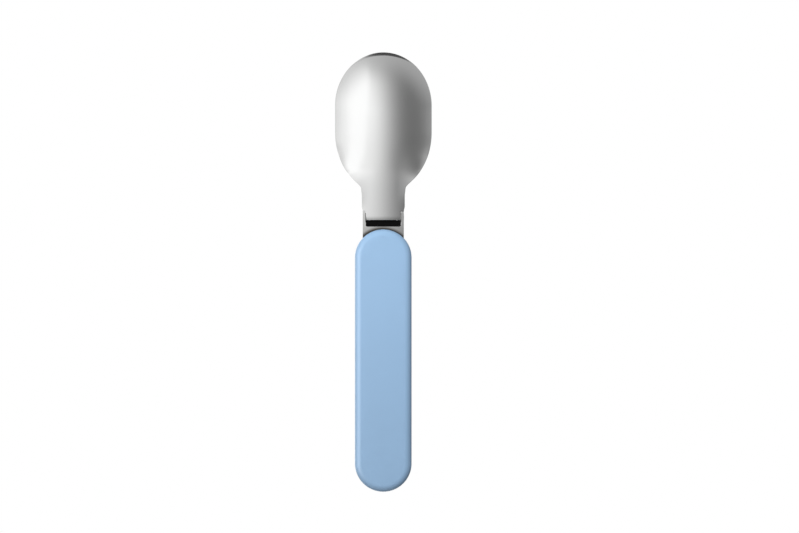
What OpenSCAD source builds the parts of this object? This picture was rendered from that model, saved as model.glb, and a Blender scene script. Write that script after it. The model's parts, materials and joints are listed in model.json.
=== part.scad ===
// Folding spoon: a pressed steel spoon head that folds over its plastic handle.
// It lies face up: +Z is the hollow side of the bowl, +Y points to the tip of the bowl.
// The origin is under the middle of the spoon, on the surface that it lies on.

/* [Handle] */
// Length of the handle
handle_length = 98.3; // [78:0.1:130]
// Width of the handle
handle_width = 21.2; // [19.5:0.1:30]
// Thickness of the two handle shells together
handle_thickness = 9; // [8.6:0.1:12]
// Rounding of the handle's long edges
handle_edge_radius = 2.6; // [1:0.1:3.6]
// Wall of the handle shells
shell_wall = 1.7; // [1.2:0.1:2.2]

/* [Bowl] */
// Width of the bowl
bowl_width = 36.4; // [28:0.1:46]
// Length of the rounded tip of the bowl
bowl_tip_length = 20.1; // [14:0.1:28]
// Length of the straight sides of the bowl
bowl_mid_length = 10.05; // [4:0.05:20]
// Length of the rounded root of the bowl, down to the neck
bowl_root_length = 22.7; // [18:0.1:30]
// Height of the bowl's side rim over its belly, on the back of the sheet
bowl_depth = 8.2; // [6:0.1:8.6]
// How much lower the rim is at the tip than at the sides
tip_drop = 1.3; // [0.8:0.1:2.5]
// Thickness of the steel sheet
sheet_thickness = 1.1; // [0.8:0.05:1.3]

/* [Neck] */
// Width of the neck
neck_width = 16.1; // [15.5:0.1:19]
// Length of the neck from the hinge axis to the root of the bowl
neck_length = 9.35; // [6:0.05:20]
// Height of the back of the neck and of the bracket over the table
neck_lift = 2.5; // [2:0.1:3]
// How much higher the neck's edges are than its middle
neck_crown = 1.3; // [0.6:0.1:1.8]

/* [Hinge] */
// Distance from the handle's end to the hinge axis
hinge_reach = 4.45; // [4:0.05:8]
// Depth of the hinge axis below the handle's front face
hinge_drop = 2; // [1.9:0.05:2.4]
// Diameter of the hinge pin
pin_diameter = 2; // [1.4:0.1:2.5]
// Diameter of the pin's flush heads
pin_head_diameter = 3; // [2.4:0.1:3.5]
// Radius of the ears round the pin
ear_radius = 1.9; // [1.7:0.05:2]
// Width of the bracket over its two ears
bracket_width = 15.4; // [14:0.1:16]
// Thickness of the bracket's sheet
bracket_thickness = 1; // [0.7:0.05:1.2]
// Outer radius of the bracket's bent edges
bend_radius = 1.2; // [0.6:0.05:1.4]
// Thickness of the washers between the ears
washer_thickness = 0.28; // [0.2:0.01:0.6]
// How far the neck reaches past the hinge axis
tongue_reach = 0.85; // [0.5:0.05:1.4]
// Gap between the end of the neck and the bracket
slot_gap = 2.45; // [1.5:0.05:3.4]

/* [Inside the handle] */
// How far the bracket's tang reaches past the last peg
tang_overhang = 4.4; // [3:0.1:12]
// Width of the bracket's tang
tang_width = 13; // [8:0.1:14]
// Diameter of the pegs that hold the shells and the tang together
peg_diameter = 3; // [2:0.1:4]
// Distance between the pegs
peg_spacing = 22; // [12:0.5:28]
// Thickness of the click spring's blade
spring_thickness = 0.8; // [0.5:0.05:1.2]
// How far the blade reaches past the hinge axis
spring_reach = 1.6; // [0.8:0.1:1.8]

/* [Hidden] */

$fn = 96;

// Clearances
fit = 0.08;            // pieces that are held between others
running = 0.04;        // pin in the neck's ears, and along the pin
stop_gap = 0.05;       // bracket ears to the neck's shoulders when open
peg_fit = 0.05;        // pegs in their holes, on the radius
blade_fit = 0.07;      // click spring over the neck
flex_room = 0.24;      // front shell over the click spring's blade
weld = 0.05;           // how far the tongue lies inside the neck's sheet on each side
join = 0.6;            // overlap of pieces of one solid

// Places along the spoon
bowl_length = bowl_root_length + bowl_mid_length + bowl_tip_length;
total_length = handle_length + hinge_reach + neck_length + bowl_length;
handle_start_y = -total_length / 2;
handle_end_y = handle_start_y + handle_length;
hinge_y = handle_end_y + hinge_reach;
root_y = hinge_y + neck_length;
side_start_y = root_y + bowl_root_length;
side_end_y = side_start_y + bowl_mid_length;
tip_y = side_end_y + bowl_tip_length;
belly_y = (side_start_y + side_end_y) / 2;

// Hinge
hinge_height = handle_thickness - hinge_drop;
nose_reach = 0.15;                           // how far the stop stands out past the ear's rounding
ear_nose = ear_radius + nose_reach;          // the bracket's ears end here and stop the neck
shoulder_y = hinge_y + ear_nose + stop_gap;  // the neck is full width from here
bracket_half = bracket_width / 2;
bracket_inner = bracket_half - bracket_thickness;
tongue_half = bracket_inner - washer_thickness - 2 * running;
tongue_sheet_half = bracket_inner - fit;     // under the ears, the tongue fills the bracket's width
tongue_end_y = hinge_y - tongue_reach;
plate_end_y = tongue_end_y - slot_gap;
plate_top = neck_lift + bracket_thickness;
washer_inset = 0.1;                          // washers lie this much inside the ears' rounding
washer_radius = ear_radius - washer_inset;
pin_radius = pin_diameter / 2;
pin_bore = pin_radius + running;
head_height = (pin_head_diameter - pin_diameter) / 2;

// Handle
handle_half = handle_width / 2;
handle_front_y = handle_end_y - handle_half; // centres of the round ends
handle_rear_y = handle_start_y + handle_half;
parting_z = handle_thickness / 2;
lip_width = shell_wall / 2 - fit / 2;
lip_height = 0.6;
boss_wall = 1.2;
boss_diameter = peg_diameter + 2 * boss_wall;
peg_setback = 3;                             // from the centre of the round end to the first peg
first_peg_y = handle_front_y - peg_setback;
peg_count = 3;
last_peg_y = first_peg_y - (peg_count - 1) * peg_spacing;
tang_end_y = last_peg_y - tang_overhang;
wide_plate_depth = 8.1;                      // the bracket is as wide as its ears this far into the handle
wide_plate_y = handle_end_y - wide_plate_depth;

// Spoon sheet
neck_half = neck_width / 2;
bowl_half = bowl_width / 2;
outline_power = 12;                          // how sharply the bowl's outline turns into the neck
neck_rim = neck_lift + neck_crown;
tip_rim = bowl_depth - tip_drop;
tip_rise_power = 2.2;                        // how the belly's line rises to the tip
rim_rise_lag = 1.4;                          // the rim starts to rise this far past the root
rim_rise_lead = 5;                           // and is at its full height this far before the straight sides
rim_rise_start = root_y + rim_rise_lag;
rim_rise_end = side_start_y - rim_rise_lead;
across = 24;                                 // facets across the sheet

// Click spring
blade_side_gap = 0.3;                        // blade to the neck's ears, on each side
blade_end_gap = 0.2;                         // wide part of the blade to the neck's end
pad_margin = 0.5;                            // pad inside the tang's edges
pad_front = 1;                               // pad past the centre of the handle's round end
blade_half = tongue_half - sheet_thickness - blade_side_gap;
blade_z = neck_back(blade_half) + sheet_thickness + blade_fit;
blade_tip_y = hinge_y + spring_reach;
blade_wide_y = tongue_end_y - blade_end_gap;
blade_root_y = handle_front_y + pad_front;
pad_pegs = 2;                                // the pad lies on this many of the pegs
pad_rear_y = first_peg_y - (pad_pegs - 1) * peg_spacing - boss_diameter / 2;
pad_half = tang_width / 2 - pad_margin;
pad_top = blade_z + spring_thickness;

function smooth(t) = let (s = min(max(t, 0), 1)) s * s * (3 - 2 * s);

// Half the width of the sheet: neck and bowl run into each other
function bowl_edge(y) =
    y > side_end_y ? bowl_half * sqrt(max(0, 1 - pow((y - side_end_y) / bowl_tip_length, 2)))
    : y > side_start_y ? bowl_half
    : bowl_half * sqrt(max(0, 1 - pow((side_start_y - y) / bowl_root_length, 2)));
function sheet_half(y) =
    y > side_start_y ? bowl_edge(y)
    : pow(pow(neck_half, outline_power) + pow(bowl_edge(y), outline_power), 1 / outline_power);

// Height of the sheet's back along its middle, and at its edges
function belly(y) =
    y > belly_y ? tip_rim * pow((y - belly_y) / (tip_y - belly_y), tip_rise_power)
    : neck_lift * (1 - smooth((y - root_y) / (belly_y - root_y)));
function rim(y) =
    y > side_end_y ? bowl_depth - tip_drop * pow((y - side_end_y) / bowl_tip_length, 2)
    : neck_rim + (bowl_depth - neck_rim) * smooth((y - rim_rise_start) / (rim_rise_end - rim_rise_start));
function back(x, y) = belly(y) + (rim(y) - belly(y)) * pow(x / sheet_half(y), 2);
function neck_back(x) = neck_lift + neck_crown * pow(x / neck_half, 2);

// Points on the back of the sheet, and a sheet's thickness further in
step = 0.02;
function back_point(x, y) = [x, y, back(x, y)];
function inward(x, y) =
    let (
        dx = 2 * (rim(y) - belly(y)) * x / pow(sheet_half(y), 2),
        dy = (back(x, y) - back(x, y - step)) / step,
        size = norm([dx, dy, 1])
    )
    [-dx, -dy, 1] / size;
function front_point(x, y) = back_point(x, y) + sheet_thickness * inward(x, y);

// Lines across the sheet, closer together towards the tip
neck_lines = 4;
root_lines = 14;
mid_lines = 6;
tip_lines = 14;
last_angle = 87;
lines = concat(
    [for (i = [0:neck_lines - 1]) shoulder_y + (root_y - shoulder_y) * i / neck_lines],
    [for (i = [0:root_lines - 1]) root_y + bowl_root_length * i / root_lines],
    [for (i = [0:mid_lines - 1]) side_end_y - bowl_mid_length * (1 - i / mid_lines)],
    [for (i = [0:tip_lines]) side_end_y + bowl_tip_length * sin(last_angle * i / tip_lines)]
);

module bowl_and_neck() {
    row = across + 1;
    last = len(lines) - 1;
    sheet = row * len(lines);
    shares = [for (j = [0:across]) sin(90 * (2 * j / across - 1))];
    backs = [for (y = lines) for (s = shares) back_point(s * sheet_half(y), y)];
    fronts = [for (y = lines) for (s = shares) front_point(s * sheet_half(y), y)];
    skins = [
        for (i = [0:last - 1]) for (j = [0:across - 1])
            let (a = i * row + j, b = a + 1, c = a + row, d = c + 1)
            each [
                [a, b, d], [a, d, c],
                [sheet + a, sheet + d, sheet + b], [sheet + a, sheet + c, sheet + d]
            ]
    ];
    sides = [
        for (i = [0:last - 1])
            let (a = i * row, c = a + row, b = a + across, d = b + row)
            each [
                [a, c, sheet + c], [a, sheet + c, sheet + a],
                [b, sheet + d, d], [b, sheet + b, sheet + d]
            ]
    ];
    ends = [
        for (j = [0:across - 1])
            let (a = j, c = last * row + j)
            each [
                [a, sheet + a + 1, a + 1], [a, sheet + a, sheet + a + 1],
                [c, c + 1, sheet + c + 1], [c, sheet + c + 1, sheet + c]
            ]
    ];
    polyhedron(points = concat(backs, fronts), faces = concat(skins, sides, ends), convexity = 6);
}

// Draws a side view, given along +Y and up, as a plate between two places across the spoon
module plate_across(x_from, x_to) {
    translate([x_from, 0, 0])
        rotate([90, 0, 90])
            linear_extrude(x_to - x_from)
                children();
}

module box(x_from, x_to, y_from, y_to, z_from, z_to) {
    translate([x_from, y_from, z_from])
        cube([x_to - x_from, y_to - y_from, z_to - z_from]);
}

module pin_hole(radius) {
    translate([-bracket_width, hinge_y, hinge_height])
        rotate([0, 90, 0])
            cylinder(r = radius, h = 2 * bracket_width);
}

// The neck's end: a narrow curved tongue with an ear on each side
module tongue() {
    arc = (pow(neck_half, 2) + pow(neck_crown, 2)) / (2 * neck_crown);
    ear_inner = tongue_half - sheet_thickness;
    ear_foot = neck_back(ear_inner) + weld + sheet_thickness / 2;
    difference() {
        union() {
            translate([0, shoulder_y + join, 0])
                rotate([90, 0, 0])
                    linear_extrude(shoulder_y + join - tongue_end_y)
                        intersection() {
                            translate([-tongue_sheet_half, neck_lift])
                                square([2 * tongue_sheet_half, neck_half]);
                            difference() {
                                translate([0, neck_lift + arc])
                                    circle(r = arc - weld, $fn = 360);
                                translate([0, neck_lift + arc])
                                    circle(r = arc - sheet_thickness + weld, $fn = 360);
                            }
                        }
            for (side = [-1, 1])
                plate_across(
                    side < 0 ? -tongue_half : ear_inner,
                    side < 0 ? -ear_inner : tongue_half
                )
                    union() {
                        translate([hinge_y, hinge_height])
                            circle(r = ear_radius);
                        translate([tongue_end_y, ear_foot])
                            square([tongue_reach + ear_radius, hinge_height - ear_foot]);
                    }
        }
        pin_hole(pin_bore);
    }
}

module spoon_head() {
    color([0.78, 0.78, 0.77]) {
        bowl_and_neck();
        tongue();
    }
}

// Steel bracket: a tang in the handle, a bare end, and two ears that carry the pin
module hinge_bracket() {
    nose_height = neck_rim + sheet_thickness - neck_lift;
    rail_height = parting_z - fit - neck_lift;
    color([0.72, 0.72, 0.71])
        difference() {
            union() {
                box(-bracket_half, bracket_half, wide_plate_y, plate_end_y, neck_lift, plate_top);
                box(-tang_width / 2, tang_width / 2, tang_end_y, wide_plate_y + join, neck_lift, plate_top);
                for (side = [-1, 1])
                    plate_across(
                        side < 0 ? -bracket_half : bracket_inner,
                        side < 0 ? -bracket_inner : bracket_half
                    )
                        union() {
                            translate([hinge_y, hinge_height])
                                circle(r = ear_radius);
                            translate([hinge_y - ear_radius, neck_lift])
                                square([2 * ear_radius, hinge_height - neck_lift]);
                            translate([hinge_y, neck_lift])
                                square([ear_nose, nose_height]);
                            translate([wide_plate_y, neck_lift])
                                square([hinge_y - wide_plate_y, rail_height]);
                        }
            }
            pin_hole(pin_radius);
            for (side = [-1, 1]) {
                pin_head(side);
                bend_trim(side);
            }
            for (i = [0:peg_count - 1])
                translate([0, first_peg_y - i * peg_spacing, 0])
                    cylinder(r = peg_diameter / 2 + peg_fit, h = handle_thickness);
        }
}

// What is left off a long lower edge of the bracket, where its sheet is bent
module bend_trim(side) {
    nose_y = hinge_y + ear_nose;
    translate([0, nose_y + join, 0])
        rotate([90, 0, 0])
            linear_extrude(nose_y - wide_plate_y + 2 * join)
                difference() {
                    translate([side < 0 ? -bracket_half - join : bracket_half - bend_radius, neck_lift - join])
                        square(bend_radius + join);
                    translate([side * (bracket_half - bend_radius), neck_lift + bend_radius])
                        circle(r = bend_radius);
                }
}

// Flush head of the pin, peened into the countersink of the bracket's ear
module pin_head(side) {
    translate([side * bracket_half, hinge_y, hinge_height])
        rotate([0, -side * 90, 0])
            cylinder(r1 = pin_head_diameter / 2, r2 = pin_radius, h = head_height);
}

module hinge_pin() {
    color([0.66, 0.66, 0.65])
        union() {
            translate([-bracket_half, hinge_y, hinge_height])
                rotate([0, 90, 0])
                    cylinder(r = pin_radius, h = bracket_width);
            for (side = [-1, 1])
                pin_head(side);
        }
}

module hinge_washer(side) {
    centre = side * (bracket_inner - washer_thickness / 2);
    color([0.15, 0.15, 0.15])
        translate([centre, hinge_y, hinge_height])
            rotate([0, 90, 0])
                difference() {
                    cylinder(r = washer_radius, h = washer_thickness, center = true);
                    cylinder(r = pin_bore, h = 2 * washer_thickness, center = true);
                }
}

module left_hinge_washer() {
    hinge_washer(-1);
}

module right_hinge_washer() {
    hinge_washer(1);
}

// Black spring: a pad on the tang and a blade that presses on the neck behind the pin
module click_spring() {
    color([0.07, 0.07, 0.07])
        difference() {
            union() {
                box(-pad_half, pad_half, pad_rear_y, blade_root_y, plate_top, pad_top);
                box(-bracket_inner + fit, bracket_inner - fit, blade_root_y - join, blade_wide_y,
                    blade_z, pad_top);
                box(-blade_half, blade_half, blade_wide_y - join, blade_tip_y, blade_z, pad_top);
            }
            for (i = [0:pad_pegs - 1])
                translate([0, first_peg_y - i * peg_spacing, 0])
                    cylinder(r = peg_diameter / 2 + peg_fit, h = handle_thickness);
        }
}

// Round-ended outline of the handle, drawn in by some margin
module handle_outline(margin) {
    radius = handle_half - margin;
    translate([-radius, handle_rear_y])
        square([2 * radius, handle_front_y - handle_rear_y]);
    for (y = [handle_rear_y, handle_front_y])
        translate([0, y])
            circle(r = radius);
}

// Half of a shell's section, with its outer edge rounded
module shell_section() {
    union() {
        square([handle_half - handle_edge_radius, parting_z]);
        translate([0, handle_edge_radius])
            square([handle_half, parting_z - handle_edge_radius]);
        translate([handle_half - handle_edge_radius, handle_edge_radius])
            circle(r = handle_edge_radius);
    }
}

// Solid half of the handle, from the outer face at z = 0 to the parting line
module shell_blank() {
    translate([0, handle_front_y, 0])
        rotate([90, 0, 0])
            linear_extrude(handle_front_y - handle_rear_y)
                union() {
                    shell_section();
                    mirror([1, 0])
                        shell_section();
                }
    for (y = [handle_rear_y, handle_front_y])
        translate([0, y, 0])
            rotate_extrude()
                shell_section();
}

module shell_hollow() {
    translate([0, 0, shell_wall])
        linear_extrude(handle_thickness)
            handle_outline(shell_wall);
}

module handle_back_shell() {
    notch_half = bracket_half + fit;
    color([0.60, 0.73, 0.86]) {
        difference() {
            union() {
                difference() {
                    shell_blank();
                    shell_hollow();
                }
                translate([0, 0, parting_z - join])
                    linear_extrude(join + lip_height)
                        difference() {
                            handle_outline(shell_wall - lip_width);
                            handle_outline(shell_wall);
                        }
            }
            box(-notch_half, notch_half, handle_front_y, handle_end_y + join,
                neck_lift - fit, handle_thickness);
        }
        for (i = [0:peg_count - 1])
            translate([0, first_peg_y - i * peg_spacing, shell_wall - join]) {
                cylinder(d = boss_diameter, h = neck_lift - shell_wall + join);
                cylinder(d = peg_diameter, h = handle_thickness - 2 * shell_wall + join - fit);
            }
    }
}

module handle_front_shell() {
    notch_half = bracket_half + fit;
    notch_top = pad_top + flex_room;
    color([0.60, 0.73, 0.86]) {
        difference() {
            translate([0, 0, handle_thickness])
                mirror([0, 0, 1])
                    shell_blank();
            translate([0, 0, handle_thickness])
                mirror([0, 0, 1])
                    shell_hollow();
            translate([0, 0, parting_z - join])
                linear_extrude(join + lip_height + fit)
                    handle_outline(shell_wall - lip_width - fit);
            box(-notch_half, notch_half, handle_front_y, handle_end_y + join, 0, notch_top);
        }
        for (i = [0:peg_count - 1])
            translate([0, first_peg_y - i * peg_spacing, 0])
                difference() {
                    foot = i < pad_pegs ? pad_top : plate_top;
                    translate([0, 0, foot])
                        cylinder(d = boss_diameter, h = handle_thickness - shell_wall + join - foot);
                    cylinder(r = peg_diameter / 2 + peg_fit, h = handle_thickness - shell_wall);
                }
    }
}

spoon_head();
hinge_bracket();
hinge_pin();
left_hinge_washer();
right_hinge_washer();
click_spring();
handle_back_shell();
handle_front_shell();
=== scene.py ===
import bpy
import bmesh
import json
import math
from mathutils import Matrix, Vector


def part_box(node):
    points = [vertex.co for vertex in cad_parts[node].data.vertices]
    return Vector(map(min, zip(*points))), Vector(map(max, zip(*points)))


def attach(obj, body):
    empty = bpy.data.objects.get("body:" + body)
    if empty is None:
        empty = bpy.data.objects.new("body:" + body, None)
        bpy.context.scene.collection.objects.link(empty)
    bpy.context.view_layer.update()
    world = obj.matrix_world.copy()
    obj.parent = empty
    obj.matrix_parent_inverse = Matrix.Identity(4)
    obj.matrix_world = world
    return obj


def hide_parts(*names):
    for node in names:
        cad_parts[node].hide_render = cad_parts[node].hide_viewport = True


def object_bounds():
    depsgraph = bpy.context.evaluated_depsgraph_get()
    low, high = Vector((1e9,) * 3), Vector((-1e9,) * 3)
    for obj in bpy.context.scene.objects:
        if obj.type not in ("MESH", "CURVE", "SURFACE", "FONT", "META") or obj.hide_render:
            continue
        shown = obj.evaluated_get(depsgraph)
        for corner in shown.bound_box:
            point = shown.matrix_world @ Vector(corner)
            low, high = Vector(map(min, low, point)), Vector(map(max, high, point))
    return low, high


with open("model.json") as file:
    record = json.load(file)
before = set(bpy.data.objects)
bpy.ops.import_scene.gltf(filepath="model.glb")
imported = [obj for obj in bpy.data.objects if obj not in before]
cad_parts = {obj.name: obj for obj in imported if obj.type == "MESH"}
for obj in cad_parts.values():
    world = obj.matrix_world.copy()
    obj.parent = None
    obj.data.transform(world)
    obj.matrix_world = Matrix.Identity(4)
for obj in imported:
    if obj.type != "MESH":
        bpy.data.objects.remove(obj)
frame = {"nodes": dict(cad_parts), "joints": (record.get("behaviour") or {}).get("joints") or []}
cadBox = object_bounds()
scene = bpy.context.scene
mm = 0.001
hingeY, hingeZ = (value / mm for value in frame["joints"][0]["pos_m"][1:])
print("frame loaded,", len(frame["nodes"]), "nodes")


# small helpers for meshes, sizes in mm and angles in degrees

meshing = {
    "weldGap": 0.002, "poleGap": 0.0005, "nearEnough": 0.01,
    "sharpAngle": 32, "roundAngle": 40, "roundSegments": 2, "turnSteps": 64,
    "cutPast": 1.0,                                   # how far a cutting body reaches past its cut
}


def looseObject(name, bm):
    mesh = bpy.data.meshes.new(name)
    bm.to_mesh(mesh)
    bm.free()
    piece = bpy.data.objects.new(name, mesh)
    scene.collection.objects.link(piece)
    return piece


def combine(base, others, operation):
    # joins or cuts closed meshes and gives back one clean bmesh
    bodies = [looseObject("body", base)] + [looseObject("tool", other) for other in others]
    for tool in bodies[1:]:
        step = bodies[0].modifiers.new("step", "BOOLEAN")
        step.operation = operation
        step.solver = "EXACT"
        step.object = tool
    evaluated = bodies[0].evaluated_get(bpy.context.evaluated_depsgraph_get())
    result = bmesh.new()
    result.from_mesh(evaluated.to_mesh())
    evaluated.to_mesh_clear()
    for piece in bodies:
        bpy.data.meshes.remove(piece.data)
    return result


def finishPiece(name, bm, body, node, material):
    # scales to metres, sets smooth shading with sharp edges, and fits the piece to the frame
    bmesh.ops.scale(bm, verts=bm.verts, vec=(mm, mm, mm))
    bmesh.ops.remove_doubles(bm, verts=bm.verts, dist=meshing["weldGap"] * mm)
    bmesh.ops.recalc_face_normals(bm, faces=bm.faces)
    for edge in bm.edges:
        edge.smooth = edge.calc_face_angle(0) < math.radians(meshing["sharpAngle"])
    for face in bm.faces:
        face.smooth = True
    piece = looseObject(name, bm)
    piece.data.materials.append(material)
    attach(piece, body)
    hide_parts(node)
    return piece


def bevelEdges(bm, edges, offset, segments, clamp=False):
    bmesh.ops.bevel(bm, geom=edges, offset=offset, offset_type="OFFSET", segments=segments,
                    profile=0.5, affect="EDGES", clamp_overlap=clamp, material=-1)


def extrudeBy(bm, faces, vec):
    # extrudes faces and gives back the new vertices
    raised = bmesh.ops.extrude_face_region(bm, geom=faces)["geom"]
    verts = [item for item in raised if isinstance(item, bmesh.types.BMVert)]
    bmesh.ops.translate(bm, verts=verts, vec=vec)
    return verts


def block(low, high):
    # closed box between two corners
    bm = bmesh.new()
    bmesh.ops.create_cube(bm, size=1)
    size = Vector(high) - Vector(low)
    bmesh.ops.scale(bm, verts=bm.verts, vec=size)
    bmesh.ops.translate(bm, verts=bm.verts, vec=Vector(low) + size / 2)
    return bm


def smoothStep(value):
    # from 0 to 1, with no bend at either end
    value = min(max(value, 0), 1)
    return value ** 3 * (value * (6 * value - 15) + 10)


# materials

def setInputs(node, values):
    for name, value in values.items():
        node.inputs[name].default_value = value
    return node


def addMath(nodes, links, operation, value, other=None, third=None):
    # other and third are numbers or sockets
    step = nodes.new("ShaderNodeMath")
    step.operation = operation
    links.new(value, step.inputs[0])
    for slot, item in ((1, other), (2, third)):
        if isinstance(item, bpy.types.NodeSocket):
            links.new(item, step.inputs[slot])
        elif item is not None:
            step.inputs[slot].default_value = item
    return step.outputs[0]


def addVector(nodes, links, operation, value, other=(0, 0, 0)):
    # gives back the node: lengths and products come out of Value, the rest out of Vector
    step = nodes.new("ShaderNodeVectorMath")
    step.operation = operation
    step.inputs[1].default_value = other
    links.new(value, step.inputs[0])
    return step


def addFade(nodes, links, value, low, high):
    # smooth share, 0 at low and 1 at high
    fade = nodes.new("ShaderNodeMapRange")
    fade.interpolation_type = "SMOOTHSTEP"
    setInputs(fade, {"From Min": low, "From Max": high})
    links.new(value, fade.inputs["Value"])
    return fade.outputs["Result"]


def makeGrainGroup():
    # fine grain, stretched along one way, and broad cloudy variation
    group = bpy.data.node_groups.new("surfaceGrain", "ShaderNodeTree")
    for name, kind in (("Vector", "NodeSocketVector"), ("Stretch", "NodeSocketVector"),
                       ("Grain Scale", "NodeSocketFloat"), ("Cloud Scale", "NodeSocketFloat")):
        group.interface.new_socket(name, in_out="INPUT", socket_type=kind)
    for name in ("Grain", "Clouds"):
        group.interface.new_socket(name, in_out="OUTPUT", socket_type="NodeSocketFloat")
    nodes, links = group.nodes, group.links
    entry = nodes.new("NodeGroupInput")
    leave = nodes.new("NodeGroupOutput")
    stretch = nodes.new("ShaderNodeVectorMath")
    stretch.operation = "MULTIPLY"
    links.new(entry.outputs["Vector"], stretch.inputs[0])
    links.new(entry.outputs["Stretch"], stretch.inputs[1])
    grain = setInputs(nodes.new("ShaderNodeTexNoise"), {"Detail": 3, "Roughness": 0.6})
    links.new(stretch.outputs[0], grain.inputs["Vector"])
    links.new(entry.outputs["Grain Scale"], grain.inputs["Scale"])
    links.new(grain.outputs[0], leave.inputs["Grain"])
    clouds = setInputs(nodes.new("ShaderNodeTexNoise"), {"Detail": 2, "Roughness": 0.5})
    links.new(entry.outputs["Vector"], clouds.inputs["Vector"])
    links.new(entry.outputs["Cloud Scale"], clouds.inputs["Scale"])
    links.new(clouds.outputs[0], leave.inputs["Clouds"])
    return group


grainGroup = makeGrainGroup()
noiseMix = {"grain": 0.6, "clouds": 0.4, "range": (0.3, 0.7)}     # what drives the roughness


def makeFinish(name, look):
    # one Principled shader; grain and clouds vary its colour, roughness and surface
    material = bpy.data.materials.new(name)
    material.use_nodes = True
    nodes, links = material.node_tree.nodes, material.node_tree.links
    shader = nodes["Principled BSDF"]
    setInputs(shader, look["shader"])
    place = nodes.new("ShaderNodeTexCoord")
    grain = nodes.new("ShaderNodeGroup")
    grain.node_tree = grainGroup
    setInputs(grain, {"Stretch": look["stretch"], "Grain Scale": look["grainScale"],
                      "Cloud Scale": look["cloudScale"]})
    links.new(place.outputs["Object"], grain.inputs["Vector"])
    tint = nodes.new("ShaderNodeMix")
    tint.data_type = "RGBA"
    tint.inputs["A"].default_value = (*look["darkTint"], 1)
    tint.inputs["B"].default_value = (*look["lightTint"], 1)
    links.new(grain.outputs["Clouds"], tint.inputs["Factor"])
    links.new(tint.outputs["Result"], shader.inputs["Base Color"])
    soft = addMath(nodes, links, "MULTIPLY", grain.outputs["Clouds"], noiseMix["clouds"])
    mixed = addMath(nodes, links, "MULTIPLY_ADD", grain.outputs["Grain"], noiseMix["grain"], soft)
    least, most = noiseMix["range"]
    smoothest, dullest = look["roughness"]
    rough = setInputs(nodes.new("ShaderNodeMapRange"),
                      {"From Min": least, "From Max": most, "To Min": smoothest, "To Max": dullest})
    links.new(mixed, rough.inputs["Value"])
    links.new(rough.outputs["Result"], shader.inputs["Roughness"])
    bump = setInputs(nodes.new("ShaderNodeBump"),
                     {"Strength": look["bump"], "Distance": look["bumpDepth"] * mm})
    links.new(grain.outputs["Grain"], bump.inputs["Height"])
    links.new(bump.outputs["Normal"], shader.inputs["Normal"])
    return material


satinSteel = makeFinish("satinSteel", {
    "shader": {"Metallic": 1.0},
    "darkTint": (0.60, 0.605, 0.605), "lightTint": (0.64, 0.64, 0.635),
    "stretch": (1.0, 0.06, 1.0), "grainScale": 2600, "cloudScale": 70,
    "roughness": (0.17, 0.23), "bump": 0.12, "bumpDepth": 0.004,
})
bracketSteel = makeFinish("bracketSteel", {
    "shader": {"Metallic": 1.0},
    "darkTint": (0.47, 0.47, 0.465), "lightTint": (0.53, 0.53, 0.52),
    "stretch": (0.08, 1.0, 1.0), "grainScale": 2600, "cloudScale": 120,
    "roughness": (0.28, 0.38), "bump": 0.15, "bumpDepth": 0.004,
})
pinSteel = makeFinish("pinSteel", {
    "shader": {"Metallic": 1.0},
    "darkTint": (0.50, 0.50, 0.49), "lightTint": (0.58, 0.58, 0.57),
    "stretch": (1.0, 1.0, 1.0), "grainScale": 2200, "cloudScale": 400,
    "roughness": (0.26, 0.38), "bump": 0.2, "bumpDepth": 0.006,
})
bluePlastic = makeFinish("bluePlastic", {
    "shader": {"Specular IOR Level": 0.35},
    "darkTint": (0.308, 0.485, 0.705), "lightTint": (0.322, 0.505, 0.735),
    "stretch": (1.0, 1.0, 1.0), "grainScale": 5200, "cloudScale": 45,
    "roughness": (0.40, 0.52), "bump": 0.22, "bumpDepth": 0.008,
})
blackAcetal = makeFinish("blackAcetal", {
    "shader": {"Specular IOR Level": 0.07},
    "darkTint": (0.0020, 0.0020, 0.0020), "lightTint": (0.0030, 0.0030, 0.0030),
    "stretch": (1.0, 1.0, 1.0), "grainScale": 4200, "cloudScale": 90,
    "roughness": (0.42, 0.58), "bump": 0.2, "bumpDepth": 0.006,
})
washerNylon = makeFinish("washerNylon", {
    "shader": {"Specular IOR Level": 0.4},
    "darkTint": (0.014, 0.014, 0.014), "lightTint": (0.022, 0.022, 0.022),
    "stretch": (1.0, 1.0, 1.0), "grainScale": 3600, "cloudScale": 300,
    "roughness": (0.5, 0.65), "bump": 0.15, "bumpDepth": 0.004,
})
print("materials made")


# spoon head: one steel sheet, pressed to a bowl, with two ears for the pin

spoonHead = {
    "bowlWidth": 36.4, "midLength": 10.05, "rootLength": 22.7, "bowlDepth": 8.2, "tipDrop": 1.3,
    "tipRise": 2.2, "outlinePower": 12, "thickness": 1.1,
    "neckWidth": 16.1, "neckLength": 9.35, "neckLift": 2.5, "neckCrown": 1.4,
    "neckFlare": 0.25, "flareLength": 3.0,
    # flat corners at the root, deeper where the bowl narrows, and a rim that turns up beside the root
    "rootFlat": 0.033, "flatFrom": 5.14, "flatShift": 1.5, "flatReach": (9.0, 20.0),
    "rimLift": 0.9, "liftFrom": 1.0, "liftLength": 20.0, "liftMost": 0.64,
    "rimCurl": 0.00185, "curlWidth": 8.5, "curlAt": 12.5, "curlReach": 8.0,
    "shoulderTaper": 0.35, "taperLength": 2.2,
    "tongueHalf": 6.62, "tongueReach": 0.95, "shoulderReach": 2.1,
    "endRoll": 0.15, "endRollLength": 1.2,           # the tongue's end turns up a little
    "earHalf": 6.34, "earRadius": 1.9, "earFoot": 3.7, "bore": 1.04,
    "rimRounding": 0.28, "rimSegments": 3, "rimAngle": 50,
    "facetWidth": 1.3, "facetLeast": 0.6, "facetRise": 0.85, "facetSpan": 0.95, "facetPower": 3,
    "innerColumns": 14, "outerColumns": 6,
    "tongueRows": 6, "neckRows": 46, "sideRows": 14, "tipRows": 30,
}
rootY = hingeY + spoonHead["neckLength"]
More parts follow.
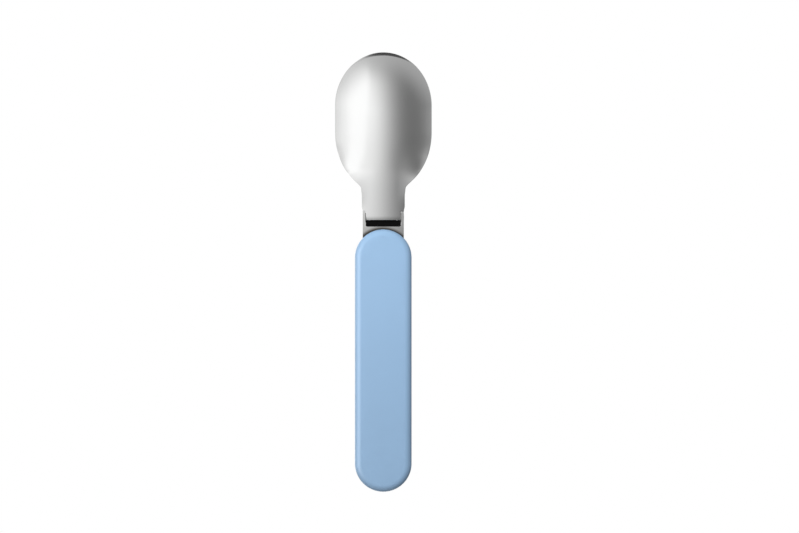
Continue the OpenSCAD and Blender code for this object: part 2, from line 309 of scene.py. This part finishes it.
sideStartY = rootY + spoonHead["rootLength"]
sideEndY = sideStartY + spoonHead["midLength"]
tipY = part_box("spoon_head")[1].y / mm
bellyY = (sideStartY + sideEndY) / 2
shoulderY = hingeY + spoonHead["shoulderReach"]
tongueEndY = hingeY - spoonHead["tongueReach"]
bowlHalf = spoonHead["bowlWidth"] / 2
neckHalf = spoonHead["neckWidth"] / 2


def sheetHalf(y):
    # half width of the sheet: neck and bowl run into each other
    past = y - sideEndY if y > sideEndY else max(sideStartY - y, 0)
    reach = tipY - sideEndY if y > sideEndY else spoonHead["rootLength"]
    edge = bowlHalf * math.sqrt(max(0, 1 - (past / reach) ** 2))
    if y > sideStartY:
        return edge
    power, length = spoonHead["outlinePower"], spoonHead["flareLength"]
    neck = neckHalf + spoonHead["neckFlare"] * smoothStep((y - rootY + length / 2) / length)
    neck -= spoonHead["shoulderTaper"] * smoothStep(1 - (y - shoulderY) / spoonHead["taperLength"])
    return (neck ** power + edge ** power) ** (1 / power)


def neckHeight(y):
    # height of the back's middle line, from the tongue's end down to the belly
    along = min((y - tongueEndY) / (bellyY - tongueEndY), 1)
    roll = max(0, 1 - (y - tongueEndY) / spoonHead["endRollLength"]) ** 2
    slope = (spoonHead["neckLift"] - spoonHead["endRoll"]) * (1 - math.sin(along * math.pi / 2))
    return slope + spoonHead["endRoll"] * roll


def rootShare(y):
    # 1 at the root, where the sheet's edges lie flatter, 0 away from it
    away = y - rootY - spoonHead["flatShift"]
    before, past = spoonHead["flatReach"]
    return smoothStep(1 + away / before if away < 0 else 1 - away / past)


def backHeight(x, y):
    # height of the sheet's back: a middle line with a hollow curve across it
    middle = neckHeight(y)
    depth, drop = spoonHead["bowlDepth"], spoonHead["tipDrop"]
    if y > bellyY:
        middle = (depth - drop) * ((y - bellyY) / (tipY - bellyY)) ** spoonHead["tipRise"]
    if y > sideEndY:
        rim = depth - drop * ((y - sideEndY) / (tipY - sideEndY)) ** 2
        half = sheetHalf(y)
        share = min(abs(x) / half, 1) if half > 0 else 1
        return middle + (rim - middle) * share ** 2
    neckCurve = spoonHead["neckCrown"] / neckHalf ** 2
    bowlCurve = (depth - middle) / bowlHalf ** 2
    curve = neckCurve + (bowlCurve - neckCurve) * smoothStep((y - rootY) / spoonHead["rootLength"])
    narrowing = min((bowlHalf / sheetHalf(y)) ** 2 - 1, spoonHead["liftMost"])
    lift = spoonHead["rimLift"] * smoothStep((y - rootY - spoonHead["liftFrom"]) / spoonHead["liftLength"])
    past = max(abs(x) - spoonHead["flatFrom"], 0)
    flat = spoonHead["rootFlat"] * rootShare(y) * past ** 2
    near = max(abs(x) - sheetHalf(y) + spoonHead["curlWidth"], 0)
    turn = smoothStep(1 - abs(y - rootY - spoonHead["curlAt"]) / spoonHead["curlReach"])
    curl = spoonHead["rimCurl"] * turn * near ** 3
    return middle + curve * (1 + lift * narrowing) * x ** 2 - flat + curl


def tipShare(u):
    # 1 in the middle of the ground facet at the tip, 0 at its ends
    return max(0, 1 - abs(u / spoonHead["facetSpan"]) ** spoonHead["facetPower"])


def sheetPoint(column, row):
    # place on the sheet, as columns across and rows from the tongue to the tip
    inner, outer = spoonHead["innerColumns"], spoonHead["outerColumns"]
    tongueShare = spoonHead["tongueHalf"] / sheetHalf(shoulderY)
    step = abs(column)
    u = tongueShare * step / inner
    if step > inner:
        u = tongueShare + (1 - tongueShare) * (step - inner) / outer
    u = math.copysign(u, column)
    stops = [(spoonHead["tongueRows"], tongueEndY, shoulderY),
             (spoonHead["neckRows"], shoulderY, sideStartY),
             (spoonHead["sideRows"], sideStartY, sideEndY)]
    for count, start, end in stops:
        if row <= count:
            y = start + (end - start) * row / count
            return u * sheetHalf(y), y, u
        row -= count
    tipLength = tipY - sideEndY
    v = row / spoonHead["tipRows"]
    if row == spoonHead["tipRows"] - 1:              # inner edge of the ground facet
        wide = spoonHead["facetWidth"] - spoonHead["facetLeast"]
        v = 1 - (spoonHead["facetLeast"] + wide * tipShare(u)) / tipLength
    x = bowlHalf * u * math.sqrt(1 - v * v / 2)
    return x, sideEndY + tipLength * v * math.sqrt(1 - u * u / 2), u


def earPlate(centreX, thickness, radius, foot, footFrom, bore, outerBore, outward):
    # arched plate across the spoon with a hole for the pin
    bm = bmesh.new()
    loops = []
    for size in (radius, bore):
        verts = bmesh.ops.create_circle(bm, segments=meshing["turnSteps"], radius=size)["verts"]
        for vert in verts:
            along, up = vert.co.x, vert.co.y
            lowered = size == radius and up < -meshing["nearEnough"] and along > footFrom
            vert.co = (0, hingeY + along, foot if lowered else hingeZ + up)
        loops += list({edge for vert in verts for edge in vert.link_edges})
    ring = bmesh.ops.bridge_loops(bm, edges=loops)["faces"]
    for vert in extrudeBy(bm, ring, (thickness * outward, 0, 0)):     # countersink on the outer face
        arm = Vector((0, vert.co.y - hingeY, vert.co.z - hingeZ))
        if arm.length < bore + meshing["nearEnough"]:
            vert.co += arm.normalized() * (outerBore - bore)
    bmesh.ops.translate(bm, verts=bm.verts, vec=(centreX - thickness * outward / 2, 0, 0))
    bmesh.ops.recalc_face_normals(bm, faces=bm.faces)
    return bm


def makeSpoonHead():
    columns = spoonHead["innerColumns"] + spoonHead["outerColumns"]
    rows = sum(spoonHead[name] for name in ("tongueRows", "neckRows", "sideRows", "tipRows"))
    bm = bmesh.new()
    bmesh.ops.create_grid(bm, x_segments=2 * columns, y_segments=rows, size=1)
    tipEdge = []
    spare = []
    for vert in bm.verts:
        column = round(vert.co.x * columns)
        row = round((vert.co.y + 1) / 2 * rows)
        x, y, u = sheetPoint(column, row)
        vert.co = (x, y, backHeight(x, y))
        if row == rows:
            tipEdge.append((vert, u))
        if abs(column) > spoonHead["innerColumns"] and row < spoonHead["tongueRows"]:
            spare.append(vert)
    bmesh.ops.delete(bm, geom=spare, context="VERTS")  # leaves the narrow tongue
    bmesh.ops.reverse_faces(bm, faces=bm.faces)
    bm.normal_update()
    bmesh.ops.solidify(bm, geom=bm.faces[:], thickness=spoonHead["thickness"])
    for vert, u in tipEdge:
        vert.co.z += spoonHead["facetRise"] * tipShare(u)
    bm.normal_update()
    rim = [edge for edge in bm.edges if edge.calc_face_angle(0) > math.radians(spoonHead["rimAngle"])]
    bevelEdges(bm, rim, spoonHead["rimRounding"], spoonHead["rimSegments"], clamp=True)
    thickness, bore = spoonHead["thickness"], spoonHead["bore"]
    earMiddle = spoonHead["earHalf"] - thickness / 2
    ears = [earPlate(side * earMiddle, thickness, spoonHead["earRadius"], spoonHead["earFoot"],
                     -spoonHead["tongueReach"], bore, bore, side) for side in (-1, 1)]
    return combine(bm, ears, "UNION")


headPiece = finishPiece("spoonHead", makeSpoonHead(), "head", "spoon_head", satinSteel)
print("spoon head made,", len(headPiece.data.polygons), "faces")


# handle: two moulded shells with rounded edges and a fine joint line between them

handleShell = {
    "edgeRadius": 2.6, "edgeSegments": 12, "wall": 1.7, "outlineSegments": 128,
    "seam": 0.09, "seamSegments": 2, "notchGap": 0.08, "notchFloor": 2.42, "notchRoof": 5.2,
}
backLow, backHigh = (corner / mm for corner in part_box("handle_back_shell"))
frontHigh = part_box("handle_front_shell")[1] / mm
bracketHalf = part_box("hinge_bracket")[1].x / mm
handleHalf = backHigh.x
frontCentreY = backHigh.y - handleHalf
rearCentreY = backLow.y + handleHalf
partingZ = frontHigh.z / 2


def makeShell():
    # back half, outer face at z = 0
    bm = bmesh.new()
    turn = Matrix.Rotation(math.pi / handleShell["outlineSegments"], 4, "Z")
    bmesh.ops.create_circle(bm, cap_ends=True, segments=handleShell["outlineSegments"],
                            radius=handleHalf, matrix=turn)
    for vert in bm.verts:
        vert.co.y += frontCentreY if vert.co.y > 0 else rearCentreY
    extrudeBy(bm, bm.faces[:], (0, 0, partingZ))
    bmesh.ops.recalc_face_normals(bm, faces=bm.faces)
    near = meshing["nearEnough"]
    lower = [e for e in bm.edges if all(v.co.z < near for v in e.verts)]
    bevelEdges(bm, lower, handleShell["edgeRadius"], handleShell["edgeSegments"])
    upper = [e for e in bm.edges if all(v.co.z > partingZ - near for v in e.verts)]
    bevelEdges(bm, upper, handleShell["seam"], handleShell["seamSegments"])
    top = max(bm.faces, key=lambda face: face.calc_center_median().z)
    bmesh.ops.inset_region(bm, faces=[top], thickness=handleShell["wall"] - handleShell["seam"])
    extrudeBy(bm, [top], (0, 0, handleShell["wall"] - partingZ))
    bmesh.ops.delete(bm, geom=[top], context="FACES_ONLY")
    bmesh.ops.recalc_face_normals(bm, faces=bm.faces)
    return bm


def makeHandle():
    past = meshing["cutPast"]
    gap = bracketHalf + handleShell["notchGap"]
    cutEnd = backHigh.y + past
    floorCut = block((-gap, frontCentreY, handleShell["notchFloor"]), (gap, cutEnd, partingZ + past))
    back = finishPiece("handleBack", combine(makeShell(), [floorCut], "DIFFERENCE"), "handle",
                       "handle_back_shell", bluePlastic)
    upper = makeShell()
    bmesh.ops.scale(upper, verts=upper.verts, vec=(1, 1, -1))
    bmesh.ops.translate(upper, verts=upper.verts, vec=(0, 0, frontHigh.z))
    bmesh.ops.reverse_faces(upper, faces=upper.faces)
    roofCut = block((-gap, frontCentreY, partingZ - past), (gap, cutEnd, handleShell["notchRoof"]))
    front = finishPiece("handleFront", combine(upper, [roofCut], "DIFFERENCE"), "handle",
                        "handle_front_shell", bluePlastic)
    return back, front


handlePieces = makeHandle()
print("handle made")


# hinge: bracket, pin, washers and click spring

hingeBracket = {
    "plateTop": 4.1, "tangTop": 3.5, "thickness": 1.0, "railTop": 4.42, "noseTop": 4.9, "noseReach": 2.05,
    "earRadius": 1.9, "earBite": 1.2, "plateEnd": 3.45, "tangHalf": 6.5, "wideEnd": 7.725,
    "slotCorner": 0.75, "cornerSteps": 8, "cornerBite": 0.3,
    "bore": 1.0, "countersink": 1.5, "rounding": 0.1, "crown": 0.5, "crownSteps": 32,
    # the three shade values at the end of the next line darken the steel's colour beside the handle's
    # round end: painted shade
    "paintedShadeReach": (0.1, 1.5), "paintedShadeShift": 0.35, "paintedShadeTint": (0.085, 0.078, 0.070),
    # the lower face rises on its way into the handle
    "dipSlope": 0.17, "dipLength": 3.5, "dipGap": 0.03, "dipRunOut": 0.5,
}
bracketLow, bracketHigh = (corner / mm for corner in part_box("hinge_bracket"))


def slotCorner(side):
    # concave fillet in a lower corner of the slot
    radius, steps, bite = (hingeBracket[name] for name in ("slotCorner", "cornerSteps", "cornerBite"))
    innerX = bracketHalf - hingeBracket["thickness"]
    plateEnd = hingeY - hingeBracket["plateEnd"]
    points = [(innerX + bite, plateEnd - bite), (innerX + bite, plateEnd + radius)]
    for step in range(steps + 1):
        angle = math.radians(90 * step / steps)
        points.append((innerX - radius + radius * math.cos(angle),
                       plateEnd + radius - radius * math.sin(angle)))
    points.append((innerX - radius, plateEnd - bite))
    bm = bmesh.new()
    face = bm.faces.new([bm.verts.new((side * x, y, bracketLow.z)) for x, y in points])
    extrudeBy(bm, [face], (0, 0, hingeBracket["thickness"]))
    bmesh.ops.recalc_face_normals(bm, faces=bm.faces)
    return bm


def crownTrim(fromY, toY, fromRise, toRise):
    # what lies below the crowned lower face of the bracket, which may rise towards one end
    past = meshing["cutPast"]
    steps = hingeBracket["crownSteps"]
    outX = bracketHalf + past
    places = [outX * (2 * step / steps - 1) for step in range(steps + 1)]
    points = [(x, bracketLow.z + hingeBracket["crown"] * (x / neckHalf) ** 2) for x in places]
    points += [(outX, bracketLow.z - past), (-outX, bracketLow.z - past)]
    bm = bmesh.new()
    face = bm.faces.new([bm.verts.new((x, fromY, z + fromRise)) for x, z in points])
    extrudeBy(bm, [face], (0, toY - fromY, toRise - fromRise))
    bmesh.ops.recalc_face_normals(bm, faces=bm.faces)
    return bm


def addPaintedHandleShade(material):
    # painted shade: the steel's colour is darkened in a band round the handle's round end, where the
    # handle shades it; the band is shifted to one side, as the shadow falls
    nodes, links = material.node_tree.nodes, material.node_tree.links
    shader = nodes["Principled BSDF"]
    place = nodes.new("ShaderNodeTexCoord")
    centre = (hingeBracket["paintedShadeShift"] * mm, frontCentreY * mm, 0)
    arm = addVector(nodes, links, "SUBTRACT", place.outputs["Object"], centre)
    flat = addVector(nodes, links, "MULTIPLY", arm.outputs["Vector"], (1, 1, 0))
    reach = addVector(nodes, links, "LENGTH", flat.outputs["Vector"])
    near, far = (handleHalf + depth for depth in hingeBracket["paintedShadeReach"])
    share = addFade(nodes, links, reach.outputs["Value"], far * mm, near * mm)
    mix = nodes.new("ShaderNodeMix")
    mix.data_type = "RGBA"
    mix.inputs["B"].default_value = (*hingeBracket["paintedShadeTint"], 1)
    links.new(share, mix.inputs["Factor"])
    links.new(shader.inputs["Base Color"].links[0].from_socket, mix.inputs["A"])
    links.new(mix.outputs["Result"], shader.inputs["Base Color"])


def makeBracket():
    low, past = bracketLow.z, meshing["cutPast"]
    thickness, radius, bite = (hingeBracket[name] for name in ("thickness", "earRadius", "earBite"))
    tangHalf, wideEnd = hingeBracket["tangHalf"], hingeBracket["wideEnd"]
    plateEnd = hingeY - hingeBracket["plateEnd"]
    innerX = bracketHalf - thickness
    plate = block((-bracketHalf, wideEnd, low), (bracketHalf, plateEnd, hingeBracket["plateTop"]))
    parts = [block((-tangHalf, bracketLow.y, low), (tangHalf, wideEnd + past, hingeBracket["tangTop"]))]
    for side in (-1, 1):
        middle = side * (bracketHalf - thickness / 2)
        near, far = sorted((side * innerX, side * bracketHalf))
        parts.append(earPlate(middle, thickness, radius, low, -radius * 2, hingeBracket["bore"],
                              hingeBracket["countersink"], side))
        parts.append(block((near, wideEnd, low), (far, hingeY - bite, hingeBracket["railTop"])))
        parts.append(block((near, hingeY + bite, low),
                           (far, hingeY + hingeBracket["noseReach"], hingeBracket["noseTop"])))
        parts.append(slotCorner(side))
    slope, length, runOut = (hingeBracket[name] for name in ("dipSlope", "dipLength", "dipRunOut"))
    dipEnd = plateEnd - hingeBracket["dipGap"]
    trims = [crownTrim(wideEnd - past, bracketHigh.y + past, 0, 0),
             crownTrim(dipEnd - length, dipEnd + runOut, slope * length, -slope * runOut)]
    return combine(combine(plate, parts, "UNION"), trims, "DIFFERENCE")


def addRounding(piece, width):
    # small live bevel on the sharp edges
    rounding = piece.modifiers.new("rounding", "BEVEL")
    rounding.width = width * mm
    rounding.segments = meshing["roundSegments"]
    rounding.limit_method = "ANGLE"
    rounding.angle_limit = math.radians(meshing["roundAngle"])


bracketPiece = finishPiece("hingeBracket", makeBracket(), "handle", "hinge_bracket",
                           bracketSteel)
addRounding(bracketPiece, hingeBracket["rounding"])
# paints shade on the bracket's steel next to the handle's round end
addPaintedHandleShade(bracketSteel)


def turned(profile):
    # spins a profile of (along X, radius) round the hinge axis
    bm = bmesh.new()
    verts = [bm.verts.new((x, hingeY, hingeZ + radius)) for x, radius in profile]
    edges = [bm.edges.new(pair) for pair in zip(verts, verts[1:])]
    if profile[0][1] > 0:
        edges.append(bm.edges.new((verts[-1], verts[0])))
    bmesh.ops.spin(bm, geom=verts + edges, cent=(0, hingeY, hingeZ), axis=(1, 0, 0), dvec=(0, 0, 0),
                   angle=math.tau, steps=meshing["turnSteps"], use_merge=True, use_duplicate=False)
    bmesh.ops.remove_doubles(bm, verts=bm.verts, dist=meshing["poleGap"])
    bmesh.ops.recalc_face_normals(bm, faces=bm.faces)
    return bm


hingePin = {
    "radius": 0.99, "headRadius": 1.47, "headDepth": 0.5, "lip": 0.03, "dome": 0.07,
    "domeSteps": ((1.0, 0.0), (0.8, 0.5), (0.35, 0.86)),      # shares of the dome and of the head's radius
}


def makePin():
    half, wide = bracketHalf, hingePin["headRadius"]
    end = [(half + hingePin["dome"] * rise, wide * out) for rise, out in hingePin["domeSteps"]]
    end += [(half - hingePin["lip"], wide), (half - hingePin["headDepth"], hingePin["radius"])]
    return turned([(-x, r) for x, r in end] + end[::-1])


finishPiece("hingePin", makePin(), "handle", "hinge_pin", pinSteel)

hingeWasher = {"outer": 1.8, "inner": 1.04, "rounding": 0.06}


def makeWasher(node):
    low, high = (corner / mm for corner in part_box(node))
    cut = hingeWasher["rounding"]
    inner, outer = hingeWasher["inner"], hingeWasher["outer"]
    return turned([(low.x, inner), (low.x, outer - cut), (low.x + cut, outer), (high.x - cut, outer),
                   (high.x, outer - cut), (high.x, inner)])


for name, node in (("leftWasher", "left_hinge_washer"), ("rightWasher", "right_hinge_washer")):
    finishPiece(name, makeWasher(node), "handle", node, washerNylon)

clickSpring = {
    "bladeHalf": 4.94, "wideHalf": 6.62, "padHalf": 6.0, "bladeBottom": 4.16, "thickness": 0.8,
    "wideEnd": 1.05, "padFront": 6.225, "joinLength": 0.6, "joinStep": 0.002, "rounding": 0.12,
}


def makeSpring():
    low, high = (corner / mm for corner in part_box("click_spring"))
    padHalf, wideHalf, bladeHalf = (clickSpring[name] for name in ("padHalf", "wideHalf", "bladeHalf"))
    padFront, join, step = (clickSpring[name] for name in ("padFront", "joinLength", "joinStep"))
    bottom, top = clickSpring["bladeBottom"], clickSpring["bladeBottom"] + clickSpring["thickness"]
    wideEnd = hingeY - clickSpring["wideEnd"]
    pad = block((-padHalf, low.y, low.z), (padHalf, padFront, top - step))
    blade = block((-wideHalf, padFront - join, bottom), (wideHalf, wideEnd, top))
    tip = block((-bladeHalf, wideEnd - join, bottom + step), (bladeHalf, high.y, top - step))
    return combine(pad, [blade, tip], "UNION")


springPiece = finishPiece("clickSpring", makeSpring(), "handle", "click_spring",
                          blackAcetal)
addRounding(springPiece, clickSpring["rounding"])
print("hinge made")


# floor, light and camera

studio = {
    "floorSize": 30.0, "floorColor": (0.50, 0.50, 0.50), "floorGlow": 0.28,
    "floorRoughness": 0.8, "floorSpecular": 0.1,
    "floorFade": (2.0, 0.35),                         # the far floor fades into the white
    "darkSide": 0.25, "brightSide": 1.55,             # soft light on the photo's left
    "across": (-0.87, 0.63), "lean": 0.27,
    "boxPower": 0.7, "boxNear": (0.55, 0.70), "boxLean": -0.3,
    "boxSteep": (0.35, 0.60), "boxRoot": (-0.40, 0.20), "brightest": 1.62,
    # dimmer towards the neck and the tip, and an even grey low down
    "neckDim": 0.54, "neckReach": (0.13, -0.50), "tipDim": 0.5, "tipReach": (0.50, 1.05),
    "horizon": 0.73, "horizonReach": (0.40, -0.15), "horizonShare": 0.75, "horizonTilt": 0.68,
    # a bright card for the tongue's end and a dark one for the ground tip
    "lip": 1.0, "lipReach": (-0.80, -0.92),
    "tipCard": 0.09, "tipFrom": (-0.10, 0.95, 0.28), "tipEdge": (0.84, 0.95),
    "softShare": 0.48,                                # how much of this light reaches dull surfaces
}
softLamps = {                                         # for the plastic; the steel doesn't mirror them
    "key": {"place": (0.045, 0.17, -0.29), "size": 0.12, "power": 0.88},
    "sheen": {"place": (0.33, -0.03, -0.22), "size": 0.35, "power": 2.8},
    "overhead": {"place": (0.1, 0.1, 1.3), "size": 1.2, "power": 10.5},
}


def addShade(nodes, links, share, before, grey):
    # mixes a plain grey into the surroundings by a share from 0 to 1
    mix = nodes.new("ShaderNodeMix")
    mix.inputs["B"].default_value = grey
    links.new(share, mix.inputs["Factor"])
    links.new(before, mix.inputs["A"])
    return mix.outputs["Result"]


def makeSurroundings():
    # smooth studio round the spoon, the same above and below the table; the camera sees plain white
    world = bpy.data.worlds.new("studio")
    scene.world = world
    world.use_nodes = True
    nodes, links = world.node_tree.nodes, world.node_tree.links

    def fade(value, reach):
        return addFade(nodes, links, value, *reach)

    def calc(operation, value, other=None, third=None):
        return addMath(nodes, links, operation, value, other, third)

    direction = nodes.new("ShaderNodeTexCoord").outputs["Generated"]
    parts = nodes.new("ShaderNodeSeparateXYZ")
    links.new(direction, parts.inputs[0])
    x, y, z = parts.outputs
    tipward = calc("MAXIMUM", y, 0)
    steep = calc("ABSOLUTE", z)
    across = calc("MULTIPLY_ADD", tipward, -studio["lean"], x)
    level = calc("MULTIPLY_ADD", fade(across, studio["across"]), studio["brightSide"] - studio["darkSide"],
                 studio["darkSide"])
    across = calc("MULTIPLY_ADD", tipward, -studio["boxLean"], x)
    box = calc("MULTIPLY", fade(across, studio["boxNear"]), fade(steep, studio["boxSteep"]))
    box = calc("MULTIPLY", box, fade(y, studio["boxRoot"]))
    level = calc("MULTIPLY_ADD", box, studio["boxPower"], level)
    for dim, reach in ((studio["neckDim"], studio["neckReach"]), (studio["tipDim"], studio["tipReach"])):
        level = calc("MULTIPLY", level, calc("MULTIPLY_ADD", fade(y, reach), -dim, 1))
    level = calc("MINIMUM", level, studio["brightest"])
    low = calc("MULTIPLY_ADD", tipward, -studio["horizonTilt"], steep)
    share = calc("MULTIPLY", fade(low, studio["horizonReach"]), studio["horizonShare"])
    level = addShade(nodes, links, share, level, studio["horizon"])
    level = addShade(nodes, links, fade(y, studio["lipReach"]), level, studio["lip"])
    towards = addVector(nodes, links, "DOT_PRODUCT", direction, Vector(studio["tipFrom"]).normalized())
    share = fade(towards.outputs["Value"], studio["tipEdge"])
    level = addShade(nodes, links, share, level, studio["tipCard"])
    light = nodes["Background"]
    links.new(level, light.inputs["Color"])
    ray = nodes.new("ShaderNodeLightPath")
    strength = calc("MULTIPLY_ADD", ray.outputs["Is Diffuse Ray"], studio["softShare"] - 1, 1)
    links.new(strength, light.inputs["Strength"])
    backdrop = nodes.new("ShaderNodeBackground")
    backdrop.inputs["Color"].default_value = (1, 1, 1, 1)
    mix = nodes.new("ShaderNodeMixShader")
    links.new(ray.outputs["Is Camera Ray"], mix.inputs["Fac"])
    links.new(light.outputs[0], mix.inputs[1])
    links.new(backdrop.outputs[0], mix.inputs[2])
    links.new(mix.outputs[0], nodes["World Output"].inputs["Surface"])


def makeFloor():
    # pale from above; light and the view from below pass through it
    bm = bmesh.new()
    bmesh.ops.create_grid(bm, x_segments=2, y_segments=2, size=studio["floorSize"] / 2)
    floor = looseObject("floor", bm)
    material = bpy.data.materials.new("paleFloor")
    material.use_nodes = True
    nodes, links = material.node_tree.nodes, material.node_tree.links
    shader = nodes["Principled BSDF"]
    setInputs(shader, {"Base Color": (*studio["floorColor"], 1), "Roughness": studio["floorRoughness"],
                       "Specular IOR Level": studio["floorSpecular"],
                       "Emission Color": (1, 1, 1, 1), "Emission Strength": studio["floorGlow"]})
    clear = nodes.new("ShaderNodeBsdfTransparent")
    ray = nodes.new("ShaderNodeLightPath")
    side = nodes.new("ShaderNodeNewGeometry")
    place = nodes.new("ShaderNodeTexCoord")
    away = addVector(nodes, links, "LENGTH", place.outputs["Object"])
    near = addFade(nodes, links, away.outputs["Value"], *studio["floorFade"])
    front = addMath(nodes, links, "MULTIPLY_ADD", side.outputs["Backfacing"], -1, 1)
    above = addMath(nodes, links, "MULTIPLY", ray.outputs["Is Camera Ray"], front)
    mix = nodes.new("ShaderNodeMixShader")
    links.new(addMath(nodes, links, "MULTIPLY", above, near), mix.inputs["Fac"])
    links.new(clear.outputs[0], mix.inputs[1])
    links.new(shader.outputs[0], mix.inputs[2])
    links.new(mix.outputs[0], nodes["Material Output"].inputs["Surface"])
    floor.data.materials.append(material)


def makeLights():
    middle = (cadBox[0] + cadBox[1]) / 2
    handleOnly = bpy.data.collections.new("handleOnly")
    for piece in handlePieces:
        handleOnly.objects.link(piece)
    for name, look in softLamps.items():
        light = bpy.data.lights.new(name, "AREA")
        light.shape = "SQUARE"
        light.size = look["size"]
        light.energy = look["power"]
        lamp = bpy.data.objects.new(name, light)
        lamp.location = look["place"]
        lamp.rotation_euler = (middle - lamp.location).to_track_quat("-Z", "Y").to_euler()
        scene.collection.objects.link(lamp)
        if name == "sheen":                           # only a gleam on the handle
            lamp.visible_diffuse = False
            lamp.light_linking.receiver_collection = handleOnly
        else:
            lamp.visible_glossy = False


photoView = {
    "imageWidth": 799, "imageHeight": 533, "mmPerPixel": 0.375, "lens": 150.0, "sensor": 36.0,
    "spoonMiddle": (383.3, 271.55), "planeHeight": 4.0,
}


def makeCamera():
    # straight at the spoon's back, from below, with the bowl at the top of the picture
    camera = bpy.data.cameras.new("camera")
    camera.lens = photoView["lens"]
    camera.sensor_width = photoView["sensor"]
    width = photoView["imageWidth"] * photoView["mmPerPixel"]
    distance = width * photoView["lens"] / photoView["sensor"]
    right = (photoView["imageWidth"] / 2 - photoView["spoonMiddle"][0]) * photoView["mmPerPixel"]
    down = (photoView["imageHeight"] / 2 - photoView["spoonMiddle"][1]) * photoView["mmPerPixel"]
    eye = bpy.data.objects.new("camera", camera)
    eye.location = Vector((-right, -down, photoView["planeHeight"] - distance)) * mm
    eye.rotation_euler = (0, math.pi, 0)
    scene.collection.objects.link(eye)
    scene.camera = eye


makeSurroundings()
makeFloor()
makeLights()
makeCamera()
scene.view_settings.view_transform = "Standard"
print("floor, light and camera made")
